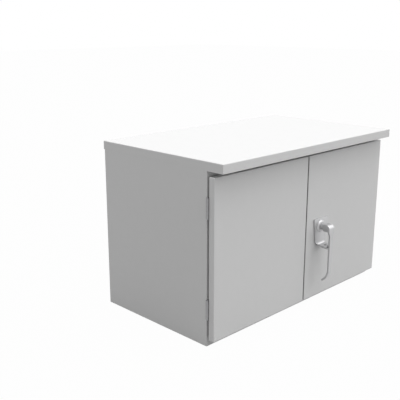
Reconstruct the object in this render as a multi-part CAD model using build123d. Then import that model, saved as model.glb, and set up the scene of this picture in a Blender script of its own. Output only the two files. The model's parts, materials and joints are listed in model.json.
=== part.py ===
from build123d import *
import os
from math import cos, pi, radians, sin, sqrt

# Roadside utility cabinet: a wide, low sheet steel box with a flat lid that hangs over
# two doors. The right door carries a padlockable drop handle that works two latch bars; the
# left door is held by two slide bolts inside. Both doors close on a frame and a centre post.
# Frame: millimetres, +Z up, X across the front, -Y towards the person who opens the doors.
# The origin is the centre of the four anchor holes, on the underside of the floor.

# Overall sizes
cabinet_width = 914.0
body_depth = 486.0
body_height = 558.0
lid_height = 29.0
lid_front_overhang = 64.0
lid_back_overhang = 6.0
sheet = 2.5
bend_radius = 2.0
weld_flange = 20.0

# Doors and the frame that they close on
door_thickness = 20.6
door_gap = 9.4
door_top_gap = 16.0
door_bottom_gap = 23.0
meeting_gap = 5.5
door_flange = 40.0
door_end_flange = 76.0
jamb_width = 42.0
header_height = 33.0
sill_height = 40.0
post_width = 50.0
post_depth = 20.0
post_tab = 25.0
seal_width = 14.0
seal_squeeze_gap = 0.3
seal_edge_inset = 1.5
seal_hinge_gap = 2.0
meeting_seal_thickness = 3.0
meeting_seal_depth = 11.0
meeting_seal_setback = 0.5
meeting_seal_end_gap = 3.0
meeting_seal_edge_radius = 1.2

# Hinges
hinge_length = 65.0
hinge_lift = 2.5
hinge_spread = 323.0
hinge_leaf_width = 20.0
hinge_leaf_thickness = 2.8
hinge_barrel_radius = 4.7
hinge_pin_radius = 2.5
hinge_axis_outset = 1.8
hinge_barrel_relief = 0.3
hinge_barrel_lead = 0.4
hinge_knuckles = 5
knuckle_gap = 0.3
hinge_screw_pitch = 21.0
hinge_screw_outset = 1.0
screw_head_radius = 4.4
screw_head_height = 1.9
pin_head_lip = 1.2
pin_head_height = 1.5

# Handle, on the right door
hub_from_seam = 80.0
hub_height = 283.0
backplate_thickness = 5.0
backplate_top_width = 81.0
backplate_waist_width = 58.0
backplate_rise = 30.0
backplate_waist_drop = 55.0
backplate_corner_radius = 6.0
boss_radius = 24.0
boss_top_radius = 18.0
boss_height = 10.0
boss_edge_radius = 2.5
neck_radius = 12.0
neck_gap = 0.5
lever_reach = 51.5
lever_thickness = 7.0
lever_width = 16.0
head_width = 30.0
head_height = 25.0
head_start = 24.0
head_corner_radius = 15.0
head_taper_above = 4.0
head_taper_below = 14.0
lever_drop = 150.5
curl_radius = 50.0
curl_angle = 60.0
hasp_width = 40.0
hasp_thickness = 4.0
hasp_drop = 68.5
hasp_reach = 42.0
hasp_bend_radius = 14.0
hasp_nose_radius = 9.0
hasp_tab_gap = 3.0
hasp_tab_width = 20.0
hasp_tab_thickness = 4.5
hasp_tab_start = 14.0
hasp_tab_corner_radius = 8.0
padlock_hole_radius = 5.5
padlock_hole_reach = 27.0
handle_screw_rises = (20.0, -42.0)
handle_screw_cover = 1.0

# Latch behind the right door
spindle_radius = 8.0
spindle_square = 11.0
spindle_depth = 16.0
housing_half = 20.0
housing_brim = 14.0
housing_rise = 30.0
housing_drop = 52.0
cam_thickness = 5.0
cam_pin_throw = 14.0
cam_pin_radius = 4.0
cam_hub_wall = 5.0
cam_lobe_wall = 4.5
cam_bar_gap = 1.0
cam_housing_gap = 1.5
cam_pin_spare = 2.0
clip_lip = 3.0
clip_thickness = 1.2
clip_gap = 0.4
bar_width = 23.0
bar_thickness = 6.0
bar_side_gap = 2.0
bar_tip_gap = 1.0
bar_end_margin = 9.0
slot_end_play = 0.5
slot_arc_share = 0.045
slot_side_play = 0.3
fork_margin = 3.0
fork_cheek_end = 4.0
roller_radius = 9.0
roller_width = 9.0
roller_play = 0.5
axle_radius = 1.8
axle_head_lip = 1.0
axle_head_height = 0.7
roller_edge = 0.8
guide_height = 14.0
guide_end_gap = 1.5
guide_wall = 8.0
guide_back_wall = 4.0
guide_foot = 10.0
guide_foot_thickness = 4.0
guide_play = 0.3
guide_screw_head = 2.0

# Slide bolts behind the left door
bolt_from_seam = 77.0
bolt_radius = 5.0
bolt_length = 142.0
bolt_tip_gap = 1.5
bolt_frame_gap = 2.0
bolt_edge = 1.0
bolt_bracket_spread = 48.0
bolt_bracket_height = 10.0
bolt_bracket_half_width = 14.0
bolt_bracket_wall = 4.0
bolt_bracket_flange_gap = 6.0
bolt_knob_length = 16.0
bolt_knob_radius = 3.0
bolt_knob_gap = 7.0

# Stiffeners glued inside the doors' skins
stiffener_width = 56.0
stiffener_brim = 12.0
stiffener_end_gap = 2.0
right_stiffener_x = 248.5

# Inside fittings
equipment_panel_width = 780.0
equipment_panel_height = 430.0
equipment_panel_standoff = 15.0
panel_stud_inset = 25.0
panel_stud_foot_radius = 6.0
panel_stud_spare = 6.0
ground_bar_length = 120.0
ground_bar_height = 18.0
ground_bar_thickness = 6.0
ground_bar_z = 120.0
ground_bar_x = -250.0
ground_screw_count = 6
ground_screw_head = 3.0
ground_screw_slot_depth = 1.5
ground_screw_slot_width = 1.2
gland_opening_width = 300.0
gland_opening_depth = 120.0
gland_opening_centre_y = 100.0
gland_plate_lap = 20.0
gland_seal_thickness = 1.5
conduit_hole_radius = 25.5
conduit_spacing = 90.0
plug_rim = 5.0
plug_wall = 2.0
plug_skirt_end = 1.0
anchor_spacing_x = 760.0
anchor_spacing_y = 380.0
anchor_hole_radius = 7.0
lid_hem = 18.0
lid_bolt_end_margin = 60.0
lid_bolt_edge_gap = 2.0
soffit_lap = 30.0

# Fits
slip = 0.1
pin_clearance = 0.05
screw_radius = 2.5
nut_radius = 4.5
nut_height = 3.5
thread_spare = 2.0
cut_past = 1.0

# Planes worked out from the sizes above
half_width = cabinet_width / 2
inner_half_width = half_width - sheet
body_front = -body_depth / 2
body_back = body_depth / 2
door_back = body_front - door_gap
door_front = door_back - door_thickness
lid_front = body_front - lid_front_overhang
lid_back = body_back + lid_back_overhang
lid_top = body_height + lid_height
door_bottom = door_bottom_gap
door_top = body_height - door_top_gap
opening_bottom = sill_height
opening_top = body_height - header_height
hinge_axis_y = body_front - door_gap / 2
hinge_axis_x = half_width + hinge_axis_outset
door_middle = (door_bottom + door_top) / 2 + hinge_lift
hinge_centres = [door_middle + side * hinge_spread / 2 for side in (-1, 1)]
hinge_leaf_inner = half_width - hinge_leaf_width
hinge_screw_x = half_width - hinge_leaf_width / 2 - hinge_screw_outset
door_outer = half_width
door_inner = meeting_gap / 2
hub_x = hub_from_seam
hub_z = hub_height
shelf_bottom = hub_z - hasp_drop
shelf_top = shelf_bottom + hasp_thickness
bar_centre_y = body_front + sheet + roller_play + roller_radius
bar_front = bar_centre_y - bar_thickness / 2
bar_back = bar_centre_y + bar_thickness / 2
cam_back = bar_front - cam_bar_gap
cam_front = cam_back - cam_thickness
housing_face = door_front + sheet
housing_top = cam_front - cam_housing_gap
spindle_inner_end = cam_front - neck_gap
handle_screw_end = door_front - backplate_thickness + handle_screw_cover
pin_offset = cam_pin_throw / sqrt(2)
bar_travel = 2 * pin_offset
upper_bar_x = hub_x - bar_side_gap / 2 - bar_width / 2
lower_bar_x = hub_x + bar_side_gap / 2 + bar_width / 2
upper_axle_z = opening_top - bar_tip_gap - roller_radius
lower_axle_z = opening_bottom + bar_tip_gap + roller_radius
fork_depth = roller_radius + fork_margin
fork_gap = roller_width + 2 * roller_play
bolt_x = -bolt_from_seam
bolt_y = body_front + sheet + bolt_frame_gap + bolt_radius
panel_face = body_back - sheet - equipment_panel_standoff
panel_bottom = (body_height - equipment_panel_height) / 2
gland_plate_bottom = sheet + gland_seal_thickness
gland_plate_top = gland_plate_bottom + sheet


def block(x0, x1, y0, y1, z0, z1):
    """A box between two corners."""
    size = Box(abs(x1 - x0), abs(y1 - y0), abs(z1 - z0))
    return Pos((x0 + x1) / 2, (y0 + y1) / 2, (z0 + z1) / 2) * size


def rod_x(radius, x0, x1, y, z):
    """A round bar along X."""
    return Pos((x0 + x1) / 2, y, z) * Rot(0, 90, 0) * Cylinder(radius, abs(x1 - x0))


def rod_y(radius, y0, y1, x, z):
    """A round bar along Y."""
    return Pos(x, (y0 + y1) / 2, z) * Rot(90, 0, 0) * Cylinder(radius, abs(y1 - y0))


def rod_z(radius, z0, z1, x, y):
    """A round bar along Z."""
    return Pos(x, y, (z0 + z1) / 2) * Cylinder(radius, abs(z1 - z0))


def hexagon_y(radius, y0, y1, x, z):
    """A nut or bolt head that faces along Y."""
    shape = Pos(x, y0, z) * Rot(90, 0, 0) * RegularPolygon(radius, 6)
    return extrude(shape, y1 - y0, dir=(0, 1, 0))


def hexagon_z(radius, z0, z1, x, y):
    """A nut or bolt head that faces along Z."""
    shape = Pos(x, y, z0) * RegularPolygon(radius, 6)
    return extrude(shape, z1 - z0, dir=(0, 0, 1))


def screw_hole_y(y0, y1, x, z):
    """What to cut away so that a screw passes along Y."""
    return rod_y(screw_radius + slip, y0 - cut_past, y1 + cut_past, x, z)


def screw_hole_z(z0, z1, x, y):
    """What to cut away so that a screw passes along Z."""
    return rod_z(screw_radius + slip, z0 - cut_past, z1 + cut_past, x, y)


def mirror_x(shape):
    """The same piece on the other side of the cabinet."""
    return mirror(shape, about=Plane.YZ)


def group(solids):
    """Several separate, identical fasteners in one node."""
    return Compound(children=[solid for shape in solids for solid in shape.solids()])


def save(name, shape):
    """Writes one piece as a STEP file."""
    export_step(shape, os.path.join("parts", name + ".step"))


def side_panel():
    """Left side: web, front jamb and rear flange folded from one sheet."""
    web = block(-half_width, -inner_half_width, body_front, body_back - sheet, 0, body_height)
    jamb = block(
        -half_width, -half_width + jamb_width, body_front, body_front + sheet, opening_bottom, opening_top
    )
    rear = block(
        -half_width,
        -half_width + hinge_leaf_width,
        body_back - 2 * sheet,
        body_back - sheet,
        opening_bottom,
        opening_top,
    )
    panel = web + jamb + rear
    corner = panel.edges().filter_by(Axis.Z).sort_by_distance((-half_width, body_front, body_height / 2))[0]
    panel = fillet(corner, bend_radius)
    for centre in hinge_centres:
        panel -= barrel_relief(centre)
        for screw_z in hinge_screw_heights(centre):
            panel -= screw_hole_y(body_front, body_front + sheet, -hinge_screw_x, screw_z)
    return panel


def back_panel():
    """Flat sheet across the back, over the side panels' rear edges."""
    return block(-half_width, half_width, body_back - sheet, body_back, 0, body_height)


def anchor_positions():
    """Centres of the four anchor holes."""
    return [
        (sx * anchor_spacing_x / 2, sy * anchor_spacing_y / 2)
        for sx in (-1, 1)
        for sy in (-1, 1)
    ]


def gland_stud_positions():
    """Centres of the studs that hold the gland plate, round its opening."""
    reach_x = gland_opening_width / 2 + gland_plate_lap / 2
    reach_y = gland_opening_depth / 2 + gland_plate_lap / 2
    return [
        (column * reach_x, gland_opening_centre_y + row * reach_y)
        for column in (-1, 0, 1)
        for row in (-1, 1)
    ]


def floor_plate():
    """Flat floor with the anchor holes and the cable opening."""
    floor = block(-inner_half_width, inner_half_width, body_front, body_back - sheet, 0, sheet)
    for x, y in anchor_positions():
        floor -= rod_z(anchor_hole_radius, -cut_past, sheet + cut_past, x, y)
    floor -= block(
        -gland_opening_width / 2,
        gland_opening_width / 2,
        gland_opening_centre_y - gland_opening_depth / 2,
        gland_opening_centre_y + gland_opening_depth / 2,
        -cut_past,
        sheet + cut_past,
    )
    return floor


def front_sill():
    """Strip welded on the floor's front edge, which the doors' seals meet."""
    return block(-inner_half_width, inner_half_width, body_front, body_front + sheet, sheet, sill_height)


def corner_strips(low, high):
    """Strips welded along the sides and the back, in the corners of the floor or the deck."""
    rear = body_back - sheet
    strips = [block(-inner_half_width, inner_half_width, rear - sheet, rear, low, high)]
    for side in (-1, 1):
        outer = side * inner_half_width
        strips.append(block(outer, outer - side * sheet, body_front + sheet, rear - sheet, low, high))
    return group(strips)


def lid_bolt_positions():
    """Centres of the bolts that hold the lid down, through the deck and the lid's hem."""
    reach_x = half_width - lid_hem + nut_radius + lid_bolt_edge_gap
    rows = (body_front + lid_bolt_end_margin, 0.0, body_back - lid_bolt_end_margin)
    return [(side * reach_x, y) for side in (-1, 1) for y in rows]


def roof_deck():
    """Flat sheet that closes the body under the lid."""
    low = body_height - sheet
    deck = block(-inner_half_width, inner_half_width, body_front, body_back - sheet, low, body_height)
    for x, y in lid_bolt_positions():
        deck -= screw_hole_z(low, body_height, x, y)
    return deck


def front_header():
    """Strip welded under the deck's front edge, which the doors' seals meet."""
    top = body_height - sheet
    return block(-inner_half_width, inner_half_width, body_front, body_front + sheet, opening_top, top)


def lid_cap():
    """Shallow pan turned upside down, with a hem folded in round its lower edge."""
    cap = block(-half_width, half_width, lid_front, lid_back, body_height, lid_top)
    top_edges = cap.faces().sort_by(Axis.Z)[-1].edges()
    cap = fillet(list(top_edges) + list(cap.edges().filter_by(Axis.Z)), bend_radius)
    cap -= block(
        -inner_half_width,
        inner_half_width,
        lid_front + sheet,
        lid_back - sheet,
        body_height + sheet,
        lid_top - sheet,
    )
    cap -= block(
        -half_width + lid_hem,
        half_width - lid_hem,
        lid_front + lid_hem,
        lid_back - lid_hem,
        body_height - cut_past,
        body_height + sheet + cut_past,
    )
    for x, y in lid_bolt_positions():
        cap -= screw_hole_z(body_height, body_height + sheet, x, y)
    return cap


def lid_soffit():
    """Closing strip inside the lid over the doors, resting on the hem and lapping the deck."""
    return block(
        -inner_half_width,
        inner_half_width,
        lid_front + sheet,
        body_front + soffit_lap,
        body_height + sheet,
        body_height + 2 * sheet,
    )


def lid_bolts():
    """Bolts from inside the body, up through the deck and the hem."""
    low = body_height - sheet
    tip = body_height + sheet + nut_height + thread_spare
    bolts = []
    for x, y in lid_bolt_positions():
        head = hexagon_z(nut_radius, low - nut_height, low, x, y)
        bolts.append(head + rod_z(screw_radius, low, tip, x, y))
    return group(bolts)


def lid_weld_nuts():
    """Nuts welded on top of the lid's hem."""
    nuts = []
    for x, y in lid_bolt_positions():
        nut = hexagon_z(nut_radius, body_height + sheet, body_height + sheet + nut_height, x, y)
        nuts.append(nut - rod_z(screw_radius, body_height, lid_top, x, y))
    return group(nuts)


def centre_post():
    """Channel between sill and header that both doors close on, welded by a tab at each end."""
    half = post_width / 2
    post = block(-half, half, body_front, body_front + sheet, opening_bottom, opening_top)
    for side in (-1, 1):
        post += block(
            side * half,
            side * (half - sheet),
            body_front,
            body_front + post_depth,
            opening_bottom,
            opening_top,
        )
    tab_front = body_front + sheet
    inner = half - sheet
    for end in (opening_bottom, opening_top):
        post += block(-inner, inner, tab_front, tab_front + sheet, end - post_tab, end + post_tab)
    return post


def panel_stud_positions():
    """Corners of the equipment panel where its studs pass."""
    reach = equipment_panel_width / 2 - panel_stud_inset
    heights = (panel_bottom + panel_stud_inset, panel_bottom + equipment_panel_height - panel_stud_inset)
    return [(side * reach, z) for side in (-1, 1) for z in heights]


def equipment_panel():
    """Plain plate for the equipment, stood off from the back."""
    plate = block(
        -equipment_panel_width / 2,
        equipment_panel_width / 2,
        panel_face - sheet,
        panel_face,
        panel_bottom,
        panel_bottom + equipment_panel_height,
    )
    for x, z in panel_stud_positions():
        plate -= screw_hole_y(panel_face - sheet, panel_face, x, z)
    for x, z in ground_screw_positions():
        plate -= screw_hole_y(panel_face - sheet, panel_face, x, z)
    return plate


def panel_studs():
    """Shouldered studs welded to the back: a wide foot carries the panel, a thin end takes the nut."""
    studs = []
    for x, z in panel_stud_positions():
        foot = rod_y(panel_stud_foot_radius, panel_face, body_back - sheet, x, z)
        studs.append(foot + rod_y(screw_radius, panel_face - sheet - panel_stud_spare, panel_face, x, z))
    return group(studs)


def panel_nuts():
    """Nuts on the panel's studs."""
    nuts = []
    for x, z in panel_stud_positions():
        face = panel_face - sheet
        nut = hexagon_y(nut_radius, face - nut_height, face, x, z)
        nuts.append(nut - rod_y(screw_radius, face - nut_height - cut_past, face + cut_past, x, z))
    return group(nuts)


def ground_screw_positions():
    """Terminal screws along the ground bar."""
    pitch = ground_bar_length / ground_screw_count
    first = ground_bar_x - ground_bar_length / 2 + pitch / 2
    return [(first + i * pitch, ground_bar_z) for i in range(ground_screw_count)]


def ground_bar():
    """Brass earth bar on the equipment panel."""
    front = panel_face - sheet - ground_bar_thickness
    bar = block(
        ground_bar_x - ground_bar_length / 2,
        ground_bar_x + ground_bar_length / 2,
        front,
        panel_face - sheet,
        ground_bar_z - ground_bar_height / 2,
        ground_bar_z + ground_bar_height / 2,
    )
    for x, z in ground_screw_positions():
        bar -= screw_hole_y(front, panel_face - sheet, x, z)
    return bar


def ground_screws():
    """Slotted terminal screws in the ground bar."""
    screws = []
    front = panel_face - sheet - ground_bar_thickness
    for x, z in ground_screw_positions():
        face = front - ground_screw_head
        half_slot = ground_screw_slot_width / 2
        head = rod_y(nut_radius, face, front, x, z)
        head -= block(
            x - nut_radius,
            x + nut_radius,
            face - cut_past,
            face + ground_screw_slot_depth,
            z - half_slot,
            z + half_slot,
        )
        screws.append(head + rod_y(screw_radius, front, panel_face + thread_spare, x, z))
    return group(screws)


def gland_ring(z0, z1):
    """A flat ring that laps the floor round the gland opening."""
    width = gland_opening_width / 2
    depth = gland_opening_depth / 2
    y = gland_opening_centre_y
    lap = gland_plate_lap
    ring = block(-width - lap, width + lap, y - depth - lap, y + depth + lap, z0, z1)
    for x, stud_y in gland_stud_positions():
        ring -= screw_hole_z(z0, z1, x, stud_y)
    return ring


def gland_seal():
    """Foam ring between floor and gland plate."""
    width = gland_opening_width / 2
    depth = gland_opening_depth / 2
    y = gland_opening_centre_y
    hole = block(-width, width, y - depth, y + depth, 0, sill_height)
    return gland_ring(sheet, sheet + gland_seal_thickness) - hole


def conduit_centres():
    """Centres of the three conduit holes."""
    return [(column * conduit_spacing, gland_opening_centre_y) for column in (-1, 0, 1)]


def gland_plate():
    """Removable plate over the floor opening, with three conduit holes."""
    plate = gland_ring(gland_plate_bottom, gland_plate_top)
    for x, y in conduit_centres():
        plate -= rod_z(conduit_hole_radius, 0, sill_height, x, y)
    return plate


def conduit_plugs():
    """Moulded plugs that close the conduit holes until they are used."""
    plugs = []
    for x, y in conduit_centres():
        cap = rod_z(conduit_hole_radius + plug_rim, gland_plate_top, gland_plate_top + plug_wall, x, y)
        skirt = rod_z(conduit_hole_radius - slip, gland_plate_bottom - plug_skirt_end, gland_plate_top, x, y)
        skirt -= rod_z(conduit_hole_radius - plug_wall, 0, gland_plate_top, x, y)
        plugs.append(cap + skirt)
    return group(plugs)


def gland_studs():
    """Studs welded to the floor round the gland opening."""
    tip = gland_plate_top + nut_height + thread_spare
    return group([rod_z(screw_radius, sheet, tip, x, y) for x, y in gland_stud_positions()])


def gland_nuts():
    """Nuts that press the gland plate down."""
    nuts = []
    for x, y in gland_stud_positions():
        nut = hexagon_z(nut_radius, gland_plate_top, gland_plate_top + nut_height, x, y)
        nuts.append(nut - rod_z(screw_radius, 0, sill_height, x, y))
    return group(nuts)


def hinge_screw_heights(centre):
    """Heights of the three screws in one leaf."""
    return [centre + step * hinge_screw_pitch for step in (-1, 0, 1)]


def knuckle_spans(centre, of_body):
    """Where this leaf's knuckles start and end: the body has the odd ones, the door the even ones."""
    pitch = hinge_length / hinge_knuckles
    low = centre - hinge_length / 2
    first = 0 if of_body else 1
    return [
        (low + i * pitch + knuckle_gap / 2, low + (i + 1) * pitch - knuckle_gap / 2)
        for i in range(first, hinge_knuckles, 2)
    ]


def hinge_leaf(centre, of_body):
    """One leaf on the left side, with its knuckles rolled round the pin's line."""
    if of_body:
        y0, y1 = body_front - hinge_leaf_thickness, body_front
        screw_side = 1
    else:
        y0, y1 = door_back, door_back + hinge_leaf_thickness
        screw_side = -1
    plate_end = hinge_axis_x - hinge_barrel_radius - hinge_barrel_lead
    leaf = block(-hinge_leaf_inner, -plate_end, y0, y1, centre - hinge_length / 2, centre + hinge_length / 2)
    for z0, z1 in knuckle_spans(centre, of_body):
        leaf += block(-plate_end + cut_past, -hinge_axis_x, y0, y1, z0, z1)
        leaf += rod_z(hinge_barrel_radius, z0, z1, -hinge_axis_x, hinge_axis_y)
    bore = hinge_pin_radius if of_body else hinge_pin_radius + pin_clearance
    leaf -= rod_z(bore, centre - hinge_length, centre + hinge_length, -hinge_axis_x, hinge_axis_y)
    for z in hinge_screw_heights(centre):
        leaf -= screw_hole_y(y0, y1, -hinge_screw_x, z)
        face = y0 if screw_side > 0 else y1
        leaf -= screw_cone(face, screw_side, z, slip)
    return leaf


def barrel_relief(centre):
    """What to cut away from folded sheet so that the left hinge's barrel turns clear of it."""
    reach = hinge_length / 2 + hinge_barrel_relief
    radius = hinge_barrel_radius + hinge_barrel_relief
    return rod_z(radius, centre - reach, centre + reach, -hinge_axis_x, hinge_axis_y)


def screw_cone(face, direction, z, growth):
    """A countersunk head, or its seat when grown: wide end flush with the face."""
    cone = Cone(screw_radius + growth, screw_head_radius + growth, screw_head_height)
    turned = Rot(90, 0, 0) if direction > 0 else Rot(-90, 0, 0)
    return Pos(-hinge_screw_x, face + direction * screw_head_height / 2, z) * turned * cone


def hinge_screws(of_body):
    """Countersunk screws and nuts that hold the left leaves to the frame or to the door."""
    screws = []
    for centre in hinge_centres:
        for z in hinge_screw_heights(centre):
            if of_body:
                face, direction = body_front - hinge_leaf_thickness, 1
            else:
                face, direction = door_back + hinge_leaf_thickness, -1
            seat = face + direction * (hinge_leaf_thickness + sheet)
            tip = seat + direction * (nut_height + cut_past)
            screw = screw_cone(face, direction, z, 0)
            screw += rod_y(screw_radius, face + direction * screw_head_height / 2, tip, -hinge_screw_x, z)
            nut_end = seat + direction * nut_height
            screw += hexagon_y(nut_radius, min(seat, nut_end), max(seat, nut_end), -hinge_screw_x, z)
            screws.append(screw)
    return group(screws)


def hinge_pins():
    """The four hinge pins, each with a low head on top."""
    pins = []
    for centre in hinge_centres:
        low = centre - hinge_length / 2
        high = centre + hinge_length / 2
        for side in (-1, 1):
            pin = rod_z(hinge_pin_radius, low, high, side * hinge_axis_x, hinge_axis_y)
            head_radius = hinge_pin_radius + pin_head_lip
            head = rod_z(head_radius, high, high + pin_head_height, side * hinge_axis_x, hinge_axis_y)
            pins.append(pin + head)
    return group(pins)


def door_pan():
    """Left door: skin, four returns and an inner flange all round, folded from one sheet."""
    pan = block(-door_outer, -door_inner, door_front, door_back, door_bottom, door_top)
    front_edges = pan.faces().sort_by(Axis.Y)[0].edges()
    pan = fillet(list(front_edges) + list(pan.edges().filter_by(Axis.Y)), bend_radius)
    pan -= block(
        -door_outer + sheet,
        -door_inner - sheet,
        door_front + sheet,
        door_back - sheet,
        door_bottom + sheet,
        door_top - sheet,
    )
    pan -= block(
        -door_outer + door_flange,
        -door_inner - door_flange,
        door_back - sheet - cut_past,
        door_back + cut_past,
        door_bottom + door_end_flange,
        door_top - door_end_flange,
    )
    for centre in hinge_centres:
        pan -= barrel_relief(centre)
        for z in hinge_screw_heights(centre):
            pan -= screw_hole_y(door_back - sheet, door_back, -hinge_screw_x, z)
    return pan


def door_seal():
    """Rubber strip round the left door's inner flange, clear of the hinge leaves."""
    outer_x = -hinge_leaf_inner + seal_hinge_gap
    inner_x = -door_inner - seal_edge_inset
    low = door_bottom + seal_edge_inset
    high = door_top - seal_edge_inset
    back = body_front - seal_squeeze_gap
    seal = block(outer_x, inner_x, door_back, back, low, high)
    return seal - block(
        outer_x + seal_width,
        inner_x - seal_width,
        door_back - cut_past,
        back + cut_past,
        low + seal_width,
        high - seal_width,
    )


def meeting_seal():
    """Rubber bead on the right door's meeting return, which fills most of the gap between the doors."""
    start = door_front + bend_radius + meeting_seal_setback
    face = door_inner - meeting_seal_thickness
    low = door_bottom + meeting_seal_end_gap
    high = door_top - meeting_seal_end_gap
    bead = block(face, door_inner, start, start + meeting_seal_depth, low, high)
    free_edges = bead.edges().filter_by(Axis.Z).group_by(Axis.X)[0]
    return fillet(free_edges, meeting_seal_edge_radius)


def stiffener(centre_x):
    """Hat channel glued inside the door's skin, between the inner flanges."""
    top_half = stiffener_width / 2 - stiffener_brim
    skin = door_front + sheet
    crown = door_back - sheet
    low = door_bottom + door_end_flange + stiffener_end_gap
    high = door_top - door_end_flange - stiffener_end_gap
    hat = block(centre_x - stiffener_width / 2, centre_x + stiffener_width / 2, skin, skin + sheet, low, high)
    hat += block(centre_x - top_half - sheet, centre_x + top_half + sheet, skin, door_back, low, high)
    hollow_low, hollow_high = low - cut_past, high + cut_past
    return hat - block(centre_x - top_half, centre_x + top_half, skin - cut_past, crown, hollow_low, hollow_high)


def out(reach):
    """Y of a point this far in front of the doors' outer face."""
    return door_front - reach


def handle_screw_positions():
    """Screws that pull the backplate on from inside the door."""
    reach = housing_half + housing_brim / 2
    return [(hub_x + side * reach, hub_z + rise) for side in (-1, 1) for rise in handle_screw_rises]


def backplate():
    """Casting on the door's face: tapered plate, round boss and a padlock shelf bent out below."""
    rise = hub_z + backplate_rise
    waist = hub_z - backplate_waist_drop
    outline = make_face(
        Polyline(
            (hub_x - backplate_top_width / 2, 0, rise),
            (hub_x + backplate_top_width / 2, 0, rise),
            (hub_x + backplate_waist_width / 2, 0, waist),
            (hub_x + hasp_width / 2, 0, shelf_top),
            (hub_x + hasp_width / 2, 0, shelf_bottom),
            (hub_x - hasp_width / 2, 0, shelf_bottom),
            (hub_x - hasp_width / 2, 0, shelf_top),
            (hub_x - backplate_waist_width / 2, 0, waist),
            close=True,
        )
    )
    outline = Pos(0, door_front + cut_past, 0) * outline
    front_shape = extrude(outline, hasp_reach + 2 * cut_past, dir=(0, -1, 0))
    corners = front_shape.edges().filter_by(Axis.Y).group_by(Axis.Z)
    front_shape = fillet(list(corners[2]) + list(corners[-1]), backplate_corner_radius)
    face = out(backplate_thickness)
    bend_end = out(backplate_thickness + hasp_bend_radius)
    slant = hasp_bend_radius * (1 - sqrt(0.5))
    side_shape = make_face(
        [
            Polyline(
                (0, bend_end, shelf_top),
                (0, out(hasp_reach), shelf_top),
                (0, out(hasp_reach), shelf_bottom),
                (0, door_front, shelf_bottom),
                (0, door_front, rise),
                (0, face, rise),
                (0, face, shelf_top + hasp_bend_radius),
            ),
            ThreePointArc(
                (0, face, shelf_top + hasp_bend_radius),
                (0, face - slant, shelf_top + slant),
                (0, bend_end, shelf_top),
            ),
        ]
    )
    left_edge = hub_x - backplate_top_width / 2
    solid = Pos(left_edge, 0, 0) * extrude(side_shape, backplate_top_width, dir=(1, 0, 0))
    casting = solid & front_shape
    nose = casting.edges().filter_by(Axis.Z).group_by(Axis.Y)[0]
    casting = fillet(nose, hasp_nose_radius)
    cone = Cone(boss_radius, boss_top_radius, boss_height)
    boss = Pos(hub_x, out(boss_height / 2), hub_z) * Rot(90, 0, 0) * cone
    boss = fillet(boss.faces().sort_by(Axis.Y)[0].edges(), boss_edge_radius)
    casting += boss
    casting -= rod_y(neck_radius + slip, door_front + cut_past, out(boss_height + cut_past), hub_x, hub_z)
    padlock_y = out(padlock_hole_reach)
    casting -= rod_z(padlock_hole_radius, shelf_bottom - cut_past, shelf_top + cut_past, hub_x, padlock_y)
    for x, z in handle_screw_positions():
        casting -= rod_y(screw_radius + slip, door_front + cut_past, handle_screw_end, x, z)
    return casting


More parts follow.
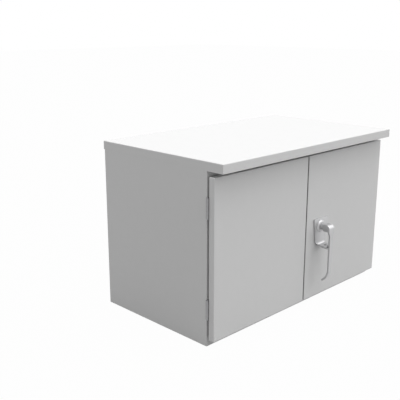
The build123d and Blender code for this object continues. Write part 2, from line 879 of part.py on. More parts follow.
def lever():
    """Drop lever: round neck, square head, flat shank that curls back to the door, padlock tab."""
    inner = lever_reach - lever_thickness
    head_top = hub_z + head_height / 2
    head_bottom = hub_z - head_height / 2
    shank_end = head_top - lever_drop - head_corner_radius
    tip_outer = (
        lever_reach - (curl_radius + lever_thickness / 2) * (1 - cos(radians(curl_angle))),
        shank_end - (curl_radius + lever_thickness / 2) * sin(radians(curl_angle)),
    )
    tip_inner = (
        inner - (curl_radius - lever_thickness / 2) * (1 - cos(radians(curl_angle))),
        shank_end - (curl_radius - lever_thickness / 2) * sin(radians(curl_angle)),
    )

    def at(reach, z):
        return (0, out(reach), z)

    corner = head_corner_radius
    corner_reach = lever_reach - corner
    mid_corner = (lever_reach - corner * (1 - sqrt(0.5)), head_top - corner * (1 - sqrt(0.5)))
    half_turn = radians(curl_angle / 2)
    mid_outer = (
        lever_reach - (curl_radius + lever_thickness / 2) * (1 - cos(half_turn)),
        shank_end - (curl_radius + lever_thickness / 2) * sin(half_turn),
    )
    mid_inner = (
        inner - (curl_radius - lever_thickness / 2) * (1 - cos(half_turn)),
        shank_end - (curl_radius - lever_thickness / 2) * sin(half_turn),
    )
    profile = make_face(
        [
            Line(at(head_start, head_bottom), at(head_start, head_top)),
            Line(at(head_start, head_top), at(corner_reach, head_top)),
            ThreePointArc(at(corner_reach, head_top), at(*mid_corner), at(lever_reach, head_top - corner)),
            Line(at(lever_reach, head_top - corner), at(lever_reach, shank_end)),
            ThreePointArc(at(lever_reach, shank_end), at(*mid_outer), at(*tip_outer)),
            Line(at(*tip_outer), at(*tip_inner)),
            ThreePointArc(at(*tip_inner), at(*mid_inner), at(inner, shank_end)),
            Line(at(inner, shank_end), at(inner, head_bottom)),
            Line(at(inner, head_bottom), at(head_start, head_bottom)),
        ]
    )
    bar = Pos(-head_width / 2, 0, 0) * extrude(profile, head_width, dir=(1, 0, 0))
    up, down = (0, 0, 1), (0, 0, -1)
    half_head = head_width / 2
    half_lever = lever_width / 2
    taper_start = head_bottom + head_taper_above
    taper_end = head_bottom - head_taper_below
    outline = make_face(
        [
            Line((-half_head, 0, head_top + cut_past), (half_head, 0, head_top + cut_past)),
            Line((half_head, 0, head_top + cut_past), (half_head, 0, taper_start)),
            Spline((half_head, 0, taper_start), (half_lever, 0, taper_end), tangents=[down, down]),
            Line((half_lever, 0, taper_end), (half_lever, 0, 0)),
            Line((half_lever, 0, 0), (-half_lever, 0, 0)),
            Line((-half_lever, 0, 0), (-half_lever, 0, taper_end)),
            Spline((-half_lever, 0, taper_end), (-half_head, 0, taper_start), tangents=[up, up]),
            Line((-half_head, 0, taper_start), (-half_head, 0, head_top + cut_past)),
        ]
    )
    outline = Pos(0, door_front, 0) * outline
    bar = Pos(hub_x, 0, 0) * (bar & extrude(outline, lever_reach + cut_past, dir=(0, -1, 0)))
    tab_top = shelf_bottom - hasp_tab_gap
    tab = block(
        hub_x - hasp_tab_width / 2,
        hub_x + hasp_tab_width / 2,
        out(inner + cut_past),
        out(hasp_tab_start),
        tab_top - hasp_tab_thickness,
        tab_top,
    )
    tab = fillet(tab.edges().filter_by(Axis.Z).group_by(Axis.Y)[-1], hasp_tab_corner_radius)
    neck = rod_y(neck_radius, out(neck_gap), out(head_start + cut_past), hub_x, hub_z)
    piece = bar + tab + neck
    tab_bottom = tab_top - hasp_tab_thickness
    hole_y = out(padlock_hole_reach)
    piece -= rod_z(padlock_hole_radius, tab_bottom - cut_past, tab_top + cut_past, hub_x, hole_y)
    piece -= rod_y(spindle_radius, out(0), out(spindle_depth), hub_x, hub_z)
    return piece


def spindle():
    """Shaft from the lever through the door to the cam, squared where it holds the cam."""
    shaft = rod_y(spindle_radius, out(spindle_depth), spindle_inner_end, hub_x, hub_z)
    half = spindle_square / 2
    return shaft + block(hub_x - half, hub_x + half, spindle_inner_end, cam_back, hub_z - half, hub_z + half)


def latch_housing():
    """Hat bracket inside the door that carries the spindle's inner end."""
    reach = housing_half + housing_brim
    low = hub_z - housing_drop
    high = hub_z + housing_rise
    box = block(hub_x - housing_half, hub_x + housing_half, housing_face, housing_top, low, high)
    box -= block(
        hub_x - housing_half + sheet,
        hub_x + housing_half - sheet,
        housing_face - cut_past,
        housing_top - sheet,
        low - cut_past,
        high + cut_past,
    )
    for side in (-1, 1):
        inner = hub_x + side * (housing_half - sheet)
        box += block(inner, hub_x + side * reach, housing_face, housing_face + sheet, low, high)
    box -= rod_y(spindle_radius + slip, housing_face - cut_past, housing_top + cut_past, hub_x, hub_z)
    for x, z in handle_screw_positions():
        box -= screw_hole_y(housing_face, housing_face + sheet, x, z)
    return box


def handle_screws():
    """Screws through the housing's brim and the skin into the backplate."""
    screws = []
    seat = housing_face + sheet
    for x, z in handle_screw_positions():
        screw = hexagon_y(nut_radius, seat, seat + nut_height, x, z)
        screws.append(screw + rod_y(screw_radius, handle_screw_end + neck_gap, seat, x, z))
    return group(screws)


def cam_pin_positions():
    """The cam's two pins at rest: up and left for the upper bar, down and right for the lower bar."""
    return [(hub_x - pin_offset, hub_z + pin_offset), (hub_x + pin_offset, hub_z - pin_offset)]


def latch_cam():
    """Plate that turns with the spindle, with a pin for each latch bar."""
    lobe = cam_pin_radius + cam_lobe_wall
    cam = rod_y(spindle_radius + cam_hub_wall, cam_front, cam_back, hub_x, hub_z)
    for x, z in cam_pin_positions():
        cam += rod_y(lobe, cam_front, cam_back, x, z)
        cam += rod_y(cam_pin_radius, cam_back, bar_back + cam_pin_spare, x, z)
    half = spindle_square / 2
    square = block(hub_x - half, hub_x + half, cam_front - cut_past, cam_back + cut_past, hub_z - half, hub_z + half)
    return cam - square


def cam_clips():
    """Push-on washers that keep the bars on the cam's pins."""
    clips = []
    for x, z in cam_pin_positions():
        face = bar_back + clip_gap
        clip = rod_y(cam_pin_radius + clip_lip, face, face + clip_thickness, x, z)
        clips.append(clip - rod_y(cam_pin_radius, bar_back, face + clip_thickness + cut_past, x, z))
    return group(clips)


def latch_bar(upper):
    """Flat bar with a cross slot for the cam's pin at one end and a fork for the roller at the other."""
    x = upper_bar_x if upper else lower_bar_x
    pin_x, pin_z = cam_pin_positions()[0 if upper else 1]
    way = 1 if upper else -1
    axle_z = upper_axle_z if upper else lower_axle_z
    near = pin_z - way * (cam_pin_radius + bar_end_margin)
    far = axle_z + way * fork_cheek_end
    bar = block(x - bar_width / 2, x + bar_width / 2, bar_front, bar_back, min(near, far), max(near, far))
    swing = cam_pin_throw - pin_offset
    outer_pin_x = pin_x - way * swing
    slot_half_height = cam_pin_radius + cam_pin_throw * slot_arc_share + slot_side_play
    slot_end = cam_pin_radius + slot_end_play
    left = min(pin_x, outer_pin_x) - slot_end
    right = max(pin_x, outer_pin_x) + slot_end
    slot_low, slot_high = pin_z - slot_half_height, pin_z + slot_half_height
    bar -= block(left, right, bar_front - cut_past, bar_back + cut_past, slot_low, slot_high)
    fork_end = axle_z - way * fork_depth
    beyond = far + way * cut_past
    bar -= block(
        x - fork_gap / 2,
        x + fork_gap / 2,
        bar_front - cut_past,
        bar_back + cut_past,
        min(fork_end, beyond),
        max(fork_end, beyond),
    )
    return bar - rod_x(axle_radius, x - bar_width, x + bar_width, bar_centre_y, axle_z)


def roller(upper):
    """Nylon wheel in the bar's fork, which would run behind the frame."""
    x = upper_bar_x if upper else lower_bar_x
    axle_z = upper_axle_z if upper else lower_axle_z
    wheel = rod_x(roller_radius, x - roller_width / 2, x + roller_width / 2, bar_centre_y, axle_z)
    wheel = chamfer(wheel.edges().filter_by(GeomType.CIRCLE), roller_edge)
    bore = rod_x(axle_radius + pin_clearance, x - roller_width, x + roller_width, bar_centre_y, axle_z)
    return wheel - bore


def roller_axle(upper):
    """Rivet through the fork that the roller turns on."""
    x = upper_bar_x if upper else lower_bar_x
    axle_z = upper_axle_z if upper else lower_axle_z
    half = bar_width / 2
    axle = rod_x(axle_radius, x - half, x + half, bar_centre_y, axle_z)
    for side in (-1, 1):
        cheek = x + side * half
        head_end = cheek + side * axle_head_height
        axle += rod_x(axle_radius + axle_head_lip, cheek, head_end, bar_centre_y, axle_z)
    return axle


def guide_z(upper):
    """Lower face of the guide on the door's inner flange, clear of the roller at the end of its travel."""
    clear = roller_radius + bar_travel + guide_end_gap
    if upper:
        return upper_axle_z - clear - guide_height
    return lower_axle_z + clear


def guide_screw_positions(upper):
    """Two screws in each guide's feet."""
    x = upper_bar_x if upper else lower_bar_x
    z = guide_z(upper) + guide_height / 2
    return [(x + side * (bar_width / 2 + guide_wall + guide_foot / 2), z) for side in (-1, 1)]


def bar_guide(upper):
    """Moulded block on the door's inner flange with a slot that the bar slides through."""
    x = upper_bar_x if upper else lower_bar_x
    low = guide_z(upper)
    half = bar_width / 2 + guide_wall
    foot_half = half + guide_foot
    foot_top = door_back + guide_foot_thickness
    guide = block(x - half, x + half, door_back, bar_back + guide_back_wall, low, low + guide_height)
    guide += block(x - foot_half, x + foot_half, door_back, foot_top, low, low + guide_height)
    guide -= block(
        x - bar_width / 2 - guide_play,
        x + bar_width / 2 + guide_play,
        bar_front - guide_play,
        bar_back + guide_play,
        low - cut_past,
        low + guide_height + cut_past,
    )
    for screw_x, screw_z in guide_screw_positions(upper):
        guide -= screw_hole_y(door_back, foot_top, screw_x, screw_z)
    return guide


def guide_screws():
    """Screws and nuts that hold both guides to the door's flange."""
    screws = []
    for upper in (False, True):
        for x, z in guide_screw_positions(upper):
            foot_top = door_back + guide_foot_thickness
            nut_end = door_back - sheet - nut_height
            head = rod_y(nut_radius, foot_top, foot_top + guide_screw_head, x, z)
            shank = rod_y(screw_radius, nut_end, foot_top, x, z)
            nut = hexagon_y(nut_radius, nut_end, door_back - sheet, x, z)
            screws.append(head + shank + nut)
    return group(screws)


def right_door_pan():
    """The left pan mirrored, with holes for the handle and the bar guides."""
    pan = mirror_x(door_pan())
    pan -= rod_y(neck_radius + slip, door_front - cut_past, door_front + sheet + cut_past, hub_x, hub_z)
    for x, z in handle_screw_positions():
        pan -= screw_hole_y(door_front, door_front + sheet, x, z)
    for upper in (False, True):
        for x, z in guide_screw_positions(upper):
            pan -= screw_hole_y(door_back - sheet, door_back, x, z)
    return pan


def bolt_bracket_heights(upper):
    """Lower faces of the two brackets that one slide bolt runs in."""
    near = door_top - door_end_flange - bolt_bracket_flange_gap - bolt_bracket_height
    far = near - bolt_bracket_spread
    if upper:
        return [near, far]
    mirror_about = door_bottom + door_top
    return [mirror_about - low - bolt_bracket_height for low in (near, far)]


def bolt_bracket(low):
    """Moulded block on the stiffener's crown with a hole for the bolt."""
    high = low + bolt_bracket_height
    bracket = block(
        bolt_x - bolt_bracket_half_width,
        bolt_x + bolt_bracket_half_width,
        door_back,
        bolt_y + bolt_radius + bolt_bracket_wall,
        low,
        high,
    )
    return bracket - rod_z(bolt_radius + slip, low - cut_past, high + cut_past, bolt_x, bolt_y)


def slide_bolt(upper):
    """Round bolt with a side knob, drawn back from the frame."""
    tip = opening_top - bolt_tip_gap if upper else opening_bottom + bolt_tip_gap
    way = 1 if upper else -1
    tail = tip - way * bolt_length
    rod = rod_z(bolt_radius, tip, tail, bolt_x, bolt_y)
    rod = chamfer(rod.edges().filter_by(GeomType.CIRCLE), bolt_edge)
    far = bolt_bracket_heights(upper)[1]
    if upper:
        knob_z = far + bolt_bracket_height + bolt_knob_gap
    else:
        knob_z = far - bolt_knob_gap
    knob_end = bolt_y + bolt_radius + bolt_knob_length
    return rod + rod_y(bolt_knob_radius, bolt_y, knob_end, bolt_x, knob_z)


def build():
    """Every piece of the cabinet by node name."""
    parts = {
        "left_side_panel": side_panel(),
        "right_side_panel": mirror_x(side_panel()),
        "back_panel": back_panel(),
        "floor_plate": floor_plate(),
        "front_sill": front_sill(),
        "floor_strips": corner_strips(sheet, weld_flange),
        "roof_deck": roof_deck(),
        "front_header": front_header(),
        "deck_strips": corner_strips(body_height - weld_flange, body_height - sheet),
        "lid_cap": lid_cap(),
        "lid_soffit": lid_soffit(),
        "lid_bolts": lid_bolts(),
        "lid_weld_nuts": lid_weld_nuts(),
        "centre_post": centre_post(),
        "equipment_panel": equipment_panel(),
        "panel_studs": panel_studs(),
        "ground_bar": ground_bar(),
        "ground_screws": ground_screws(),
        "gland_seal": gland_seal(),
        "gland_plate": gland_plate(),
        "gland_studs": gland_studs(),
        "stud_nuts": group([panel_nuts(), gland_nuts()]),
        "conduit_plugs": conduit_plugs(),
        "frame_hinge_screws": group([hinge_screws(True), mirror_x(hinge_screws(True))]),
        "hinge_pins": hinge_pins(),
        "door_hinge_screws_left": hinge_screws(False),
        "door_hinge_screws_right": mirror_x(hinge_screws(False)),
        "left_door_pan": door_pan(),
        "right_door_pan": right_door_pan(),
        "left_door_seal": door_seal(),
        "right_door_seal": mirror_x(door_seal()),
        "meeting_seal": meeting_seal(),
        "left_door_stiffener": stiffener(bolt_x),
        "right_door_stiffener": stiffener(right_stiffener_x),
        "handle_backplate": backplate(),
        "handle_lever": lever(),
        "handle_spindle": spindle(),
        "handle_screws": handle_screws(),
        "latch_housing": latch_housing(),
        "latch_cam": latch_cam(),
        "latch_cam_clips": cam_clips(),
        "latch_guide_screws": guide_screws(),
    }
    for label, centre in zip(("lower", "upper"), hinge_centres):
        for side, place in (("left", lambda shape: shape), ("right", mirror_x)):
            parts[f"{side}_{label}_hinge_frame_leaf"] = place(hinge_leaf(centre, True))
            parts[f"{side}_{label}_hinge_door_leaf"] = place(hinge_leaf(centre, False))
    for label, upper in (("upper", True), ("lower", False)):
        parts[f"{label}_latch_bar"] = latch_bar(upper)
        parts[f"{label}_latch_roller"] = roller(upper)
        parts[f"{label}_roller_axle"] = roller_axle(upper)
        parts[f"{label}_slide_bolt"] = slide_bolt(upper)
    parts["bar_guides"] = group([bar_guide(True), bar_guide(False)])
    brackets = [bolt_bracket(low) for upper in (False, True) for low in bolt_bracket_heights(upper)]
    parts["slide_bolt_brackets"] = group(brackets)
    return parts


os.makedirs("parts", exist_ok=True)
for node_name, node_shape in build().items():
    save(node_name, node_shape)
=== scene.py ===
# %% [markdown]
# A roadside utility cabinet, finished in Blender. The cabinet's construction comes as a fixed frame
# of named parts in metres. This lesson gives each part its surface, and models again the few pieces
# whose soft edges and fine detail a plain construction model leaves out.

# %% Load the frame
import json
from math import radians

import bpy
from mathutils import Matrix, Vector


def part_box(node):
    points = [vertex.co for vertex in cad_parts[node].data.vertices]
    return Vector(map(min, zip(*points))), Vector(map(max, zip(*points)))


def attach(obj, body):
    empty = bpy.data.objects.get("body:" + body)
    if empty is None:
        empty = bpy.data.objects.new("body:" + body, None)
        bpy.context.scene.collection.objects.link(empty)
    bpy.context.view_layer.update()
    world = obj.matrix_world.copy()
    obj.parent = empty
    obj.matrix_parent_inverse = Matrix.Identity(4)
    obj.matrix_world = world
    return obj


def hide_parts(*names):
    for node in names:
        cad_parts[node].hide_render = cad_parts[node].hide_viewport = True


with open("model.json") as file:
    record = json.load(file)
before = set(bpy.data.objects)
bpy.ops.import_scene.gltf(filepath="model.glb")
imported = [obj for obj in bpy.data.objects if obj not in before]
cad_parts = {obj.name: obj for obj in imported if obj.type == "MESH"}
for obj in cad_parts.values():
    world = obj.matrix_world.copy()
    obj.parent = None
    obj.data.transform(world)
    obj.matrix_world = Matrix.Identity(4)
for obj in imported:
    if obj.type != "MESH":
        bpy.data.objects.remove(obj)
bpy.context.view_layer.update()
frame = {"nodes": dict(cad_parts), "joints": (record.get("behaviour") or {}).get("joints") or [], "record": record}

nodes = frame["nodes"]
print("parts in the frame:", len(nodes))

# %% [markdown]
# The camera comes first, because everything else is judged through it. The picture was taken from
# the front left corner, a little above the lid. The heading is measured from straight ahead towards
# the cabinet's right, and the pitch is how far the camera looks down. A 60 mm lens on a 36 mm
# sensor gives the same perspective as the picture: its lines meet as slowly as they do there.

# %% Camera
camera_place = Vector((-1.8004, -1.5616, 0.9762))
camera_heading = 44.92
camera_pitch = 15.0
camera_lens = 59.91

camera_data = bpy.data.cameras.new("camera")
camera_data.lens = camera_lens
camera_data.sensor_width = 36.0
camera_data.clip_end = 100.0
camera = bpy.data.objects.new("camera", camera_data)
camera.location = camera_place
camera.rotation_euler = (radians(90.0 - camera_pitch), 0.0, radians(-camera_heading))
bpy.context.scene.collection.objects.link(camera)
bpy.context.scene.camera = camera
bpy.context.scene.view_settings.view_transform = "Standard"
print("camera at", tuple(camera_place))

# %% [markdown]
# Colours in this lesson are written the way a paint chart or a picture gives them, as sRGB hex
# values. Blender computes with linear light, so one function turns the written value into the
# linear one. The numbers in it are those of the sRGB standard.


# %% Colour
def linear(hex_colour):
    """A written sRGB colour as linear red, green, blue and full alpha."""
    channels = [int(hex_colour[i : i + 2], 16) / 255.0 for i in (1, 3, 5)]
    return [c / 12.92 if c <= 0.04045 else ((c + 0.055) / 1.055) ** 2.4 for c in channels] + [1.0]


# %% [markdown]
# A material is a small network of nodes. One function adds a node with its settings and links, so
# each recipe below reads as a list of steps. An input is given as a plain value, or as an output
# socket of an earlier node, which makes a link.


# %% Node helpers
def add_node(owner, kind, settings=None, **inputs):
    """Adds a node; inputs are socket names with _ for a space, or _ and the socket's number."""
    tree = owner.node_tree
    node = tree.nodes.new(kind)
    for name, value in (settings or {}).items():
        setattr(node, name, value)
    for name, value in inputs.items():
        key = int(name[1:]) if name[1:].isdigit() else name.replace("_", " ")
        socket = node.inputs[key]
        if isinstance(value, bpy.types.NodeSocket):
            tree.links.new(value, socket)
        else:
            socket.default_value = value
    return node


def feed(node, socket_name, output):
    """Links a pattern's output to a socket of a node that is already there."""
    node.id_data.links.new(output, node.inputs[socket_name])


def new_material(name, **shader_values):
    """A material with one Principled shader, that shader, and the object's own coordinates."""
    material = bpy.data.materials.new(name)
    material.use_nodes = True
    material.node_tree.nodes.clear()
    shader = add_node(material, "ShaderNodeBsdfPrincipled", **shader_values)
    add_node(material, "ShaderNodeOutputMaterial", Surface=shader.outputs[0])
    place = add_node(material, "ShaderNodeTexCoord").outputs["Object"]
    return material, shader, place


# %% [markdown]
# Every pattern's scale comes from a real size. The coordinates are in metres and a noise with a
# Scale of 1 has about one wave in each, so the Scale is one over the grain's size in metres.

# %% Real sizes
MM = 0.001


def waves_per_metre(size_in_mm):
    """The Scale of a noise whose grains are this many millimetres wide."""
    return 1.0 / (size_in_mm * MM)


# %% [markdown]
# The cabinet's skin is sheet steel with a baked powder coat. Powder flows out in the oven but never
# quite flat: it leaves a faint orange peel, with waves about two millimetres wide and a hundredth of
# a millimetre or so high. To the eye that softens every reflection. Two noises make it: a fine one
# for the peel, and a wide one for the slight mottle of the colour. The peel is drawn as bump,
# because its height is far below what a mesh should carry, and a Bevel node rounds the sheet's
# sharp edges in the shading, as the coat does.

# %% Powder coat
powder_mottle_mm = 35.0
powder_peel_mm = 2.2
powder_peel_height = 0.04 * MM
coated_edge_radius = 0.9 * MM


def powder_coated_steel(name, colour, shade):
    """Satin powder coat over folded sheet; shade is the darker tone of its mottle."""
    material, shader, place = new_material(name, Roughness=0.46, IOR=1.5, Specular_IOR_Level=0.35)
    mottle = add_node(
        material,
        "ShaderNodeTexNoise",
        Vector=place,
        Scale=waves_per_metre(powder_mottle_mm),
        Detail=4.0,
        Roughness=0.6,
    )
    tone = add_node(
        material,
        "ShaderNodeMix",
        {"data_type": "RGBA"},
        _0=mottle.outputs["Fac"],
        _6=linear(shade),
        _7=linear(colour),
    )
    feed(shader, "Base Color", tone.outputs[2])
    peel = add_node(
        material,
        "ShaderNodeTexNoise",
        Vector=place,
        Scale=waves_per_metre(powder_peel_mm),
        Detail=2.0,
        Roughness=0.45,
    )
    edge = add_node(material, "ShaderNodeBevel", {"samples": 4}, Radius=coated_edge_radius)
    bump = add_node(
        material,
        "ShaderNodeBump",
        Strength=0.35,
        Distance=powder_peel_height,
        Height=peel.outputs["Fac"],
        Normal=edge.outputs["Normal"],
    )
    feed(shader, "Normal", bump.outputs["Normal"])
    return material


light_grey_powder_coat = powder_coated_steel("light_grey_powder_coat", "#cbcbcb", "#c8c8c8")
print(light_grey_powder_coat.name)

# %% [markdown]
# The handle is a zinc casting, blasted with fine beads and then plated, which leaves a dull satin.
# A metal has no colour of its own beneath its reflection, so Metallic is 1 and the base colour tints
# the reflection. The casting's skin shows as very shallow waves a few millimetres wide, and the
# blasting as a fine variation in roughness.

# %% Satin plated zinc
blasting_mm = 1.2
casting_wave_mm = 6.0
casting_wave_height = 0.06 * MM


def satin_plated_zinc(name, colour):
    """Plated casting with a soft, slightly wavy reflection."""
    material, shader, place = new_material(name, Base_Color=linear(colour), Metallic=1.0)
    blasting = add_node(
        material,
        "ShaderNodeTexNoise",
        Vector=place,
        Scale=waves_per_metre(blasting_mm),
        Detail=3.0,
        Roughness=0.6,
    )
    gloss = add_node(
        material, "ShaderNodeMapRange", Value=blasting.outputs["Fac"], To_Min=0.48, To_Max=0.6
    )
    feed(shader, "Roughness", gloss.outputs["Result"])
    skin = add_node(
        material,
        "ShaderNodeTexNoise",
        Vector=place,
        Scale=waves_per_metre(casting_wave_mm),
        Detail=2.0,
        Roughness=0.4,
    )
    bump = add_node(
        material,
        "ShaderNodeBump",
        Strength=0.25,
        Distance=casting_wave_height,
        Height=skin.outputs["Fac"],
    )
    feed(shader, "Normal", bump.outputs["Normal"])
    return material


plated_zinc = satin_plated_zinc("satin_plated_zinc", "#bebebf")
print(plated_zinc.name)

# %% [markdown]
# The hinges are rolled stainless strip, tumbled with small stones. Tumbling leaves a dull, even
# grey with tiny random scuffs, so the roughness is high for a metal and a fine noise breaks it up.
# Their grey is set darker than the steel's own: painted shade for the barrels in the door gap.
# The latch bars, cam and slide bolts are cut from mild steel and zinc plated: brighter, with a
# cloudy bluish cast a few centimetres across where the passivation is thicker. The screws and nuts
# have a bright zinc plating, glossier still, with smaller clouds.

# %% Metals of the ironmongery
worked_edge_radius = 0.4 * MM


def worked_metal(name, colour, second_colour, cloud_mm, rough_range, grain_mm, grain_height_mm):
    """A bare or plated metal: two tones in soft clouds, and a fine grain in roughness and bump."""
    material, shader, place = new_material(name, Metallic=1.0)
    clouds = add_node(
        material,
        "ShaderNodeTexNoise",
        Vector=place,
        Scale=waves_per_metre(cloud_mm),
        Detail=3.0,
        Roughness=0.5,
    )
    tone = add_node(
        material,
        "ShaderNodeMix",
        {"data_type": "RGBA"},
        _0=clouds.outputs["Fac"],
        _6=linear(colour),
        _7=linear(second_colour),
    )
    feed(shader, "Base Color", tone.outputs[2])
    grain = add_node(
        material,
        "ShaderNodeTexNoise",
        Vector=place,
        Scale=waves_per_metre(grain_mm),
        Detail=4.0,
        Roughness=0.65,
    )
    gloss = add_node(
        material,
        "ShaderNodeMapRange",
        Value=grain.outputs["Fac"],
        To_Min=rough_range[0],
        To_Max=rough_range[1],
    )
    feed(shader, "Roughness", gloss.outputs["Result"])
    edge = add_node(material, "ShaderNodeBevel", {"samples": 4}, Radius=worked_edge_radius)
    bump = add_node(
        material,
        "ShaderNodeBump",
        Strength=0.3,
        Distance=grain_height_mm * MM,
        Height=grain.outputs["Fac"],
        Normal=edge.outputs["Normal"],
    )
    feed(shader, "Normal", bump.outputs["Normal"])
    return material


# Darker than bare stainless: this grey paints the shade on the hinge barrels in the door gap.
tumbled_stainless_painted_shade = worked_metal(
    "tumbled_stainless_painted_shade",
    "#9c9c9d",
    "#949496",
    cloud_mm=12.0,
    rough_range=(0.42, 0.58),
    grain_mm=0.8,
    grain_height_mm=0.03,
)
zinc_plated_steel = worked_metal(
    "zinc_plated_steel",
    "#c4c6ca",
    "#b3b8c2",
    cloud_mm=30.0,
    rough_range=(0.24, 0.42),
    grain_mm=0.6,
    grain_height_mm=0.02,
)
bright_zinc_screws = worked_metal(
    "bright_zinc_screws",
    "#cfd0d2",
    "#bdc2cc",
    cloud_mm=8.0,
    rough_range=(0.18, 0.34),
    grain_mm=0.5,
    grain_height_mm=0.02,
)
print("three worked metals")

# %% [markdown]
# The equipment panel is mill-finish aluminium: rolled, not polished, so it carries long faint lines
# along the rolling direction. A noise stretched forty times along X draws them. The earth bar is
# extruded brass, with die lines along its length, and gets the same recipe in another colour.

# %% Rolled and extruded metals
line_stretch = 40.0
line_height = 0.02 * MM


def rolled_metal(name, colour, line_mm, rough_range):
    """Bare metal with fine lines along X from the rolls or the die."""
    material, shader, place = new_material(name, Base_Color=linear(colour), Metallic=1.0)
    stretched = add_node(
        material, "ShaderNodeMapping", Vector=place, Scale=(1.0 / line_stretch, 1.0, 1.0)
    )
    lines = add_node(
        material,
        "ShaderNodeTexNoise",
        Vector=stretched.outputs["Vector"],
        Scale=waves_per_metre(line_mm),
        Detail=4.0,
        Roughness=0.7,
    )
    gloss = add_node(
        material,
        "ShaderNodeMapRange",
        Value=lines.outputs["Fac"],
        To_Min=rough_range[0],
        To_Max=rough_range[1],
    )
    feed(shader, "Roughness", gloss.outputs["Result"])
    bump = add_node(
        material, "ShaderNodeBump", Strength=0.3, Distance=line_height, Height=lines.outputs["Fac"]
    )
    feed(shader, "Normal", bump.outputs["Normal"])
    return material


mill_finish_aluminium = rolled_metal(
    "mill_finish_aluminium", "#d3d5d8", line_mm=1.5, rough_range=(0.28, 0.46)
)
extruded_brass = rolled_metal("extruded_brass", "#c9a35c", line_mm=1.0, rough_range=(0.22, 0.38))
print("two rolled metals")

# %% [markdown]
# The seals are black EPDM rubber, extruded: matt, nearly even, with a trace of talc in its pores.
# The rollers, guides and bolt brackets are moulded nylon, left in its natural warm white, and the
# conduit plugs are black polyethylene. All three have the fine, even skin of a die or a mould, so
# one recipe serves them, with its own colour, gloss and grain.


# %% Rubber and plastics
def moulded_skin(name, colour, fleck, roughness, grain_mm, grain_height_mm, ior):
    """A moulded or extruded skin with fine pores, and flecks of a second tone."""
    material, shader, place = new_material(name, Roughness=roughness, IOR=ior)
    pores = add_node(
        material,
        "ShaderNodeTexNoise",
        Vector=place,
        Scale=waves_per_metre(grain_mm),
        Detail=5.0,
        Roughness=0.6,
    )
    tone = add_node(
        material,
        "ShaderNodeMix",
        {"data_type": "RGBA"},
        _0=pores.outputs["Fac"],
        _6=linear(colour),
        _7=linear(fleck),
    )
    feed(shader, "Base Color", tone.outputs[2])
    bump = add_node(
        material,
        "ShaderNodeBump",
        Strength=0.4,
        Distance=grain_height_mm * MM,
        Height=pores.outputs["Fac"],
    )
    feed(shader, "Normal", bump.outputs["Normal"])
    return material


black_epdm_rubber = moulded_skin(
    "black_epdm_rubber",
    "#1f1f20",
    "#2b2b2c",
    roughness=0.72,
    grain_mm=0.9,
    grain_height_mm=0.08,
    ior=1.52,
)
natural_nylon = moulded_skin(
    "natural_nylon",
    "#e6e1d3",
    "#dcd6c6",
    roughness=0.42,
    grain_mm=1.4,
    grain_height_mm=0.03,
    ior=1.53,
)
black_polyethylene = moulded_skin(
    "black_polyethylene",
    "#262627",
    "#303031",
    roughness=0.5,
    grain_mm=1.1,
    grain_height_mm=0.05,
    ior=1.5,
)
print("three moulded skins")

# %% [markdown]
# Each part of the frame now gets its material. The record's slots say what each part is made of, so
# a table from slot to material does the whole assignment, and no part can be forgotten: a slot
# without a material stops the script with a KeyError.

# %% Materials on the frame's parts
slot_materials = {
    "painted_sheet": light_grey_powder_coat,
    "bare_aluminium": mill_finish_aluminium,
    "zinc_plated_steel": zinc_plated_steel,
    "plated_fasteners": bright_zinc_screws,
    "hinge_stainless": tumbled_stainless_painted_shade,
    "handle_casting": plated_zinc,
    "seal_rubber": black_epdm_rubber,
    "moulded_nylon": natural_nylon,
    "plug_plastic": black_polyethylene,
    "earth_brass": extruded_brass,
}
for subpart in frame["record"]["subparts"]:
    part = nodes[subpart["node"]]
    part.data.materials.clear()
    part.data.materials.append(slot_materials[subpart["material_slot"]])

# %% [markdown]
# From here on new pieces are modelled, with the same operators as by hand. An operator works on
# whatever is selected, and the imported parts start out selected, so the first helper clears the
# selection. The other two start a piece as a block or a round bar. Both apply the new object's
# place and size at once, so that it sits at the origin and its shape is all in its mesh.


# %% Starting a piece
def deselect_all():
    """Leaves edit mode and clears the selection."""
    if bpy.context.object and bpy.context.object.mode != "OBJECT":
        bpy.ops.object.mode_set(mode="OBJECT")
    bpy.ops.object.select_all(action="DESELECT")


def start_cube(name, low, high):
    """A block between two corners, as the start of a piece."""
    deselect_all()
    low, high = Vector(low), Vector(high)
    bpy.ops.mesh.primitive_cube_add(size=1.0, location=(low + high) / 2)
    piece = bpy.context.object
    piece.name = piece.data.name = name
    piece.scale = high - low
    bpy.ops.object.transform_apply(location=True, rotation=True, scale=True)
    return piece


def start_cylinder(name, radius, start, end, sides=48, end_radius=None):
    """A round bar or cone from one point to another along an axis."""
    deselect_all()
    start, end = Vector(start), Vector(end)
    along = end - start
    bpy.ops.mesh.primitive_cone_add(
        vertices=sides,
        radius1=radius,
        radius2=radius if end_radius is None else end_radius,
        depth=along.length,
        location=(start + end) / 2,
        rotation=along.to_track_quat("Z", "Y").to_euler(),
    )
    piece = bpy.context.object
    piece.name = piece.data.name = name
    bpy.ops.object.transform_apply(location=True, rotation=True, scale=True)
    return piece


# %% [markdown]
# In edit mode a modeller's eye finds the right faces and edges, and the mouse picks them. Here a
# test on their place and direction does the same. A place counts as the same within a twentieth of
# a millimetre, and a face looks along an axis when its normal is nearly parallel to it.

# %% Picking and shaping
tiny = 0.05 * MM
facing = 0.9


def pick(piece, kind, test):
    """Selects the faces or edges that pass a test, and enters edit mode."""
    bpy.ops.object.mode_set(mode="EDIT")
    bpy.ops.mesh.select_mode(type=kind)
    bpy.ops.mesh.select_all(action="DESELECT")
    bpy.ops.object.mode_set(mode="OBJECT")
    corners = piece.data.vertices
    if kind == "FACE":
        for face in piece.data.polygons:
            face.select = test(face.center, face.normal)
    else:
        for edge in piece.data.edges:
            edge.select = test(corners[edge.vertices[0]].co, corners[edge.vertices[1]].co)
    bpy.ops.object.mode_set(mode="EDIT")


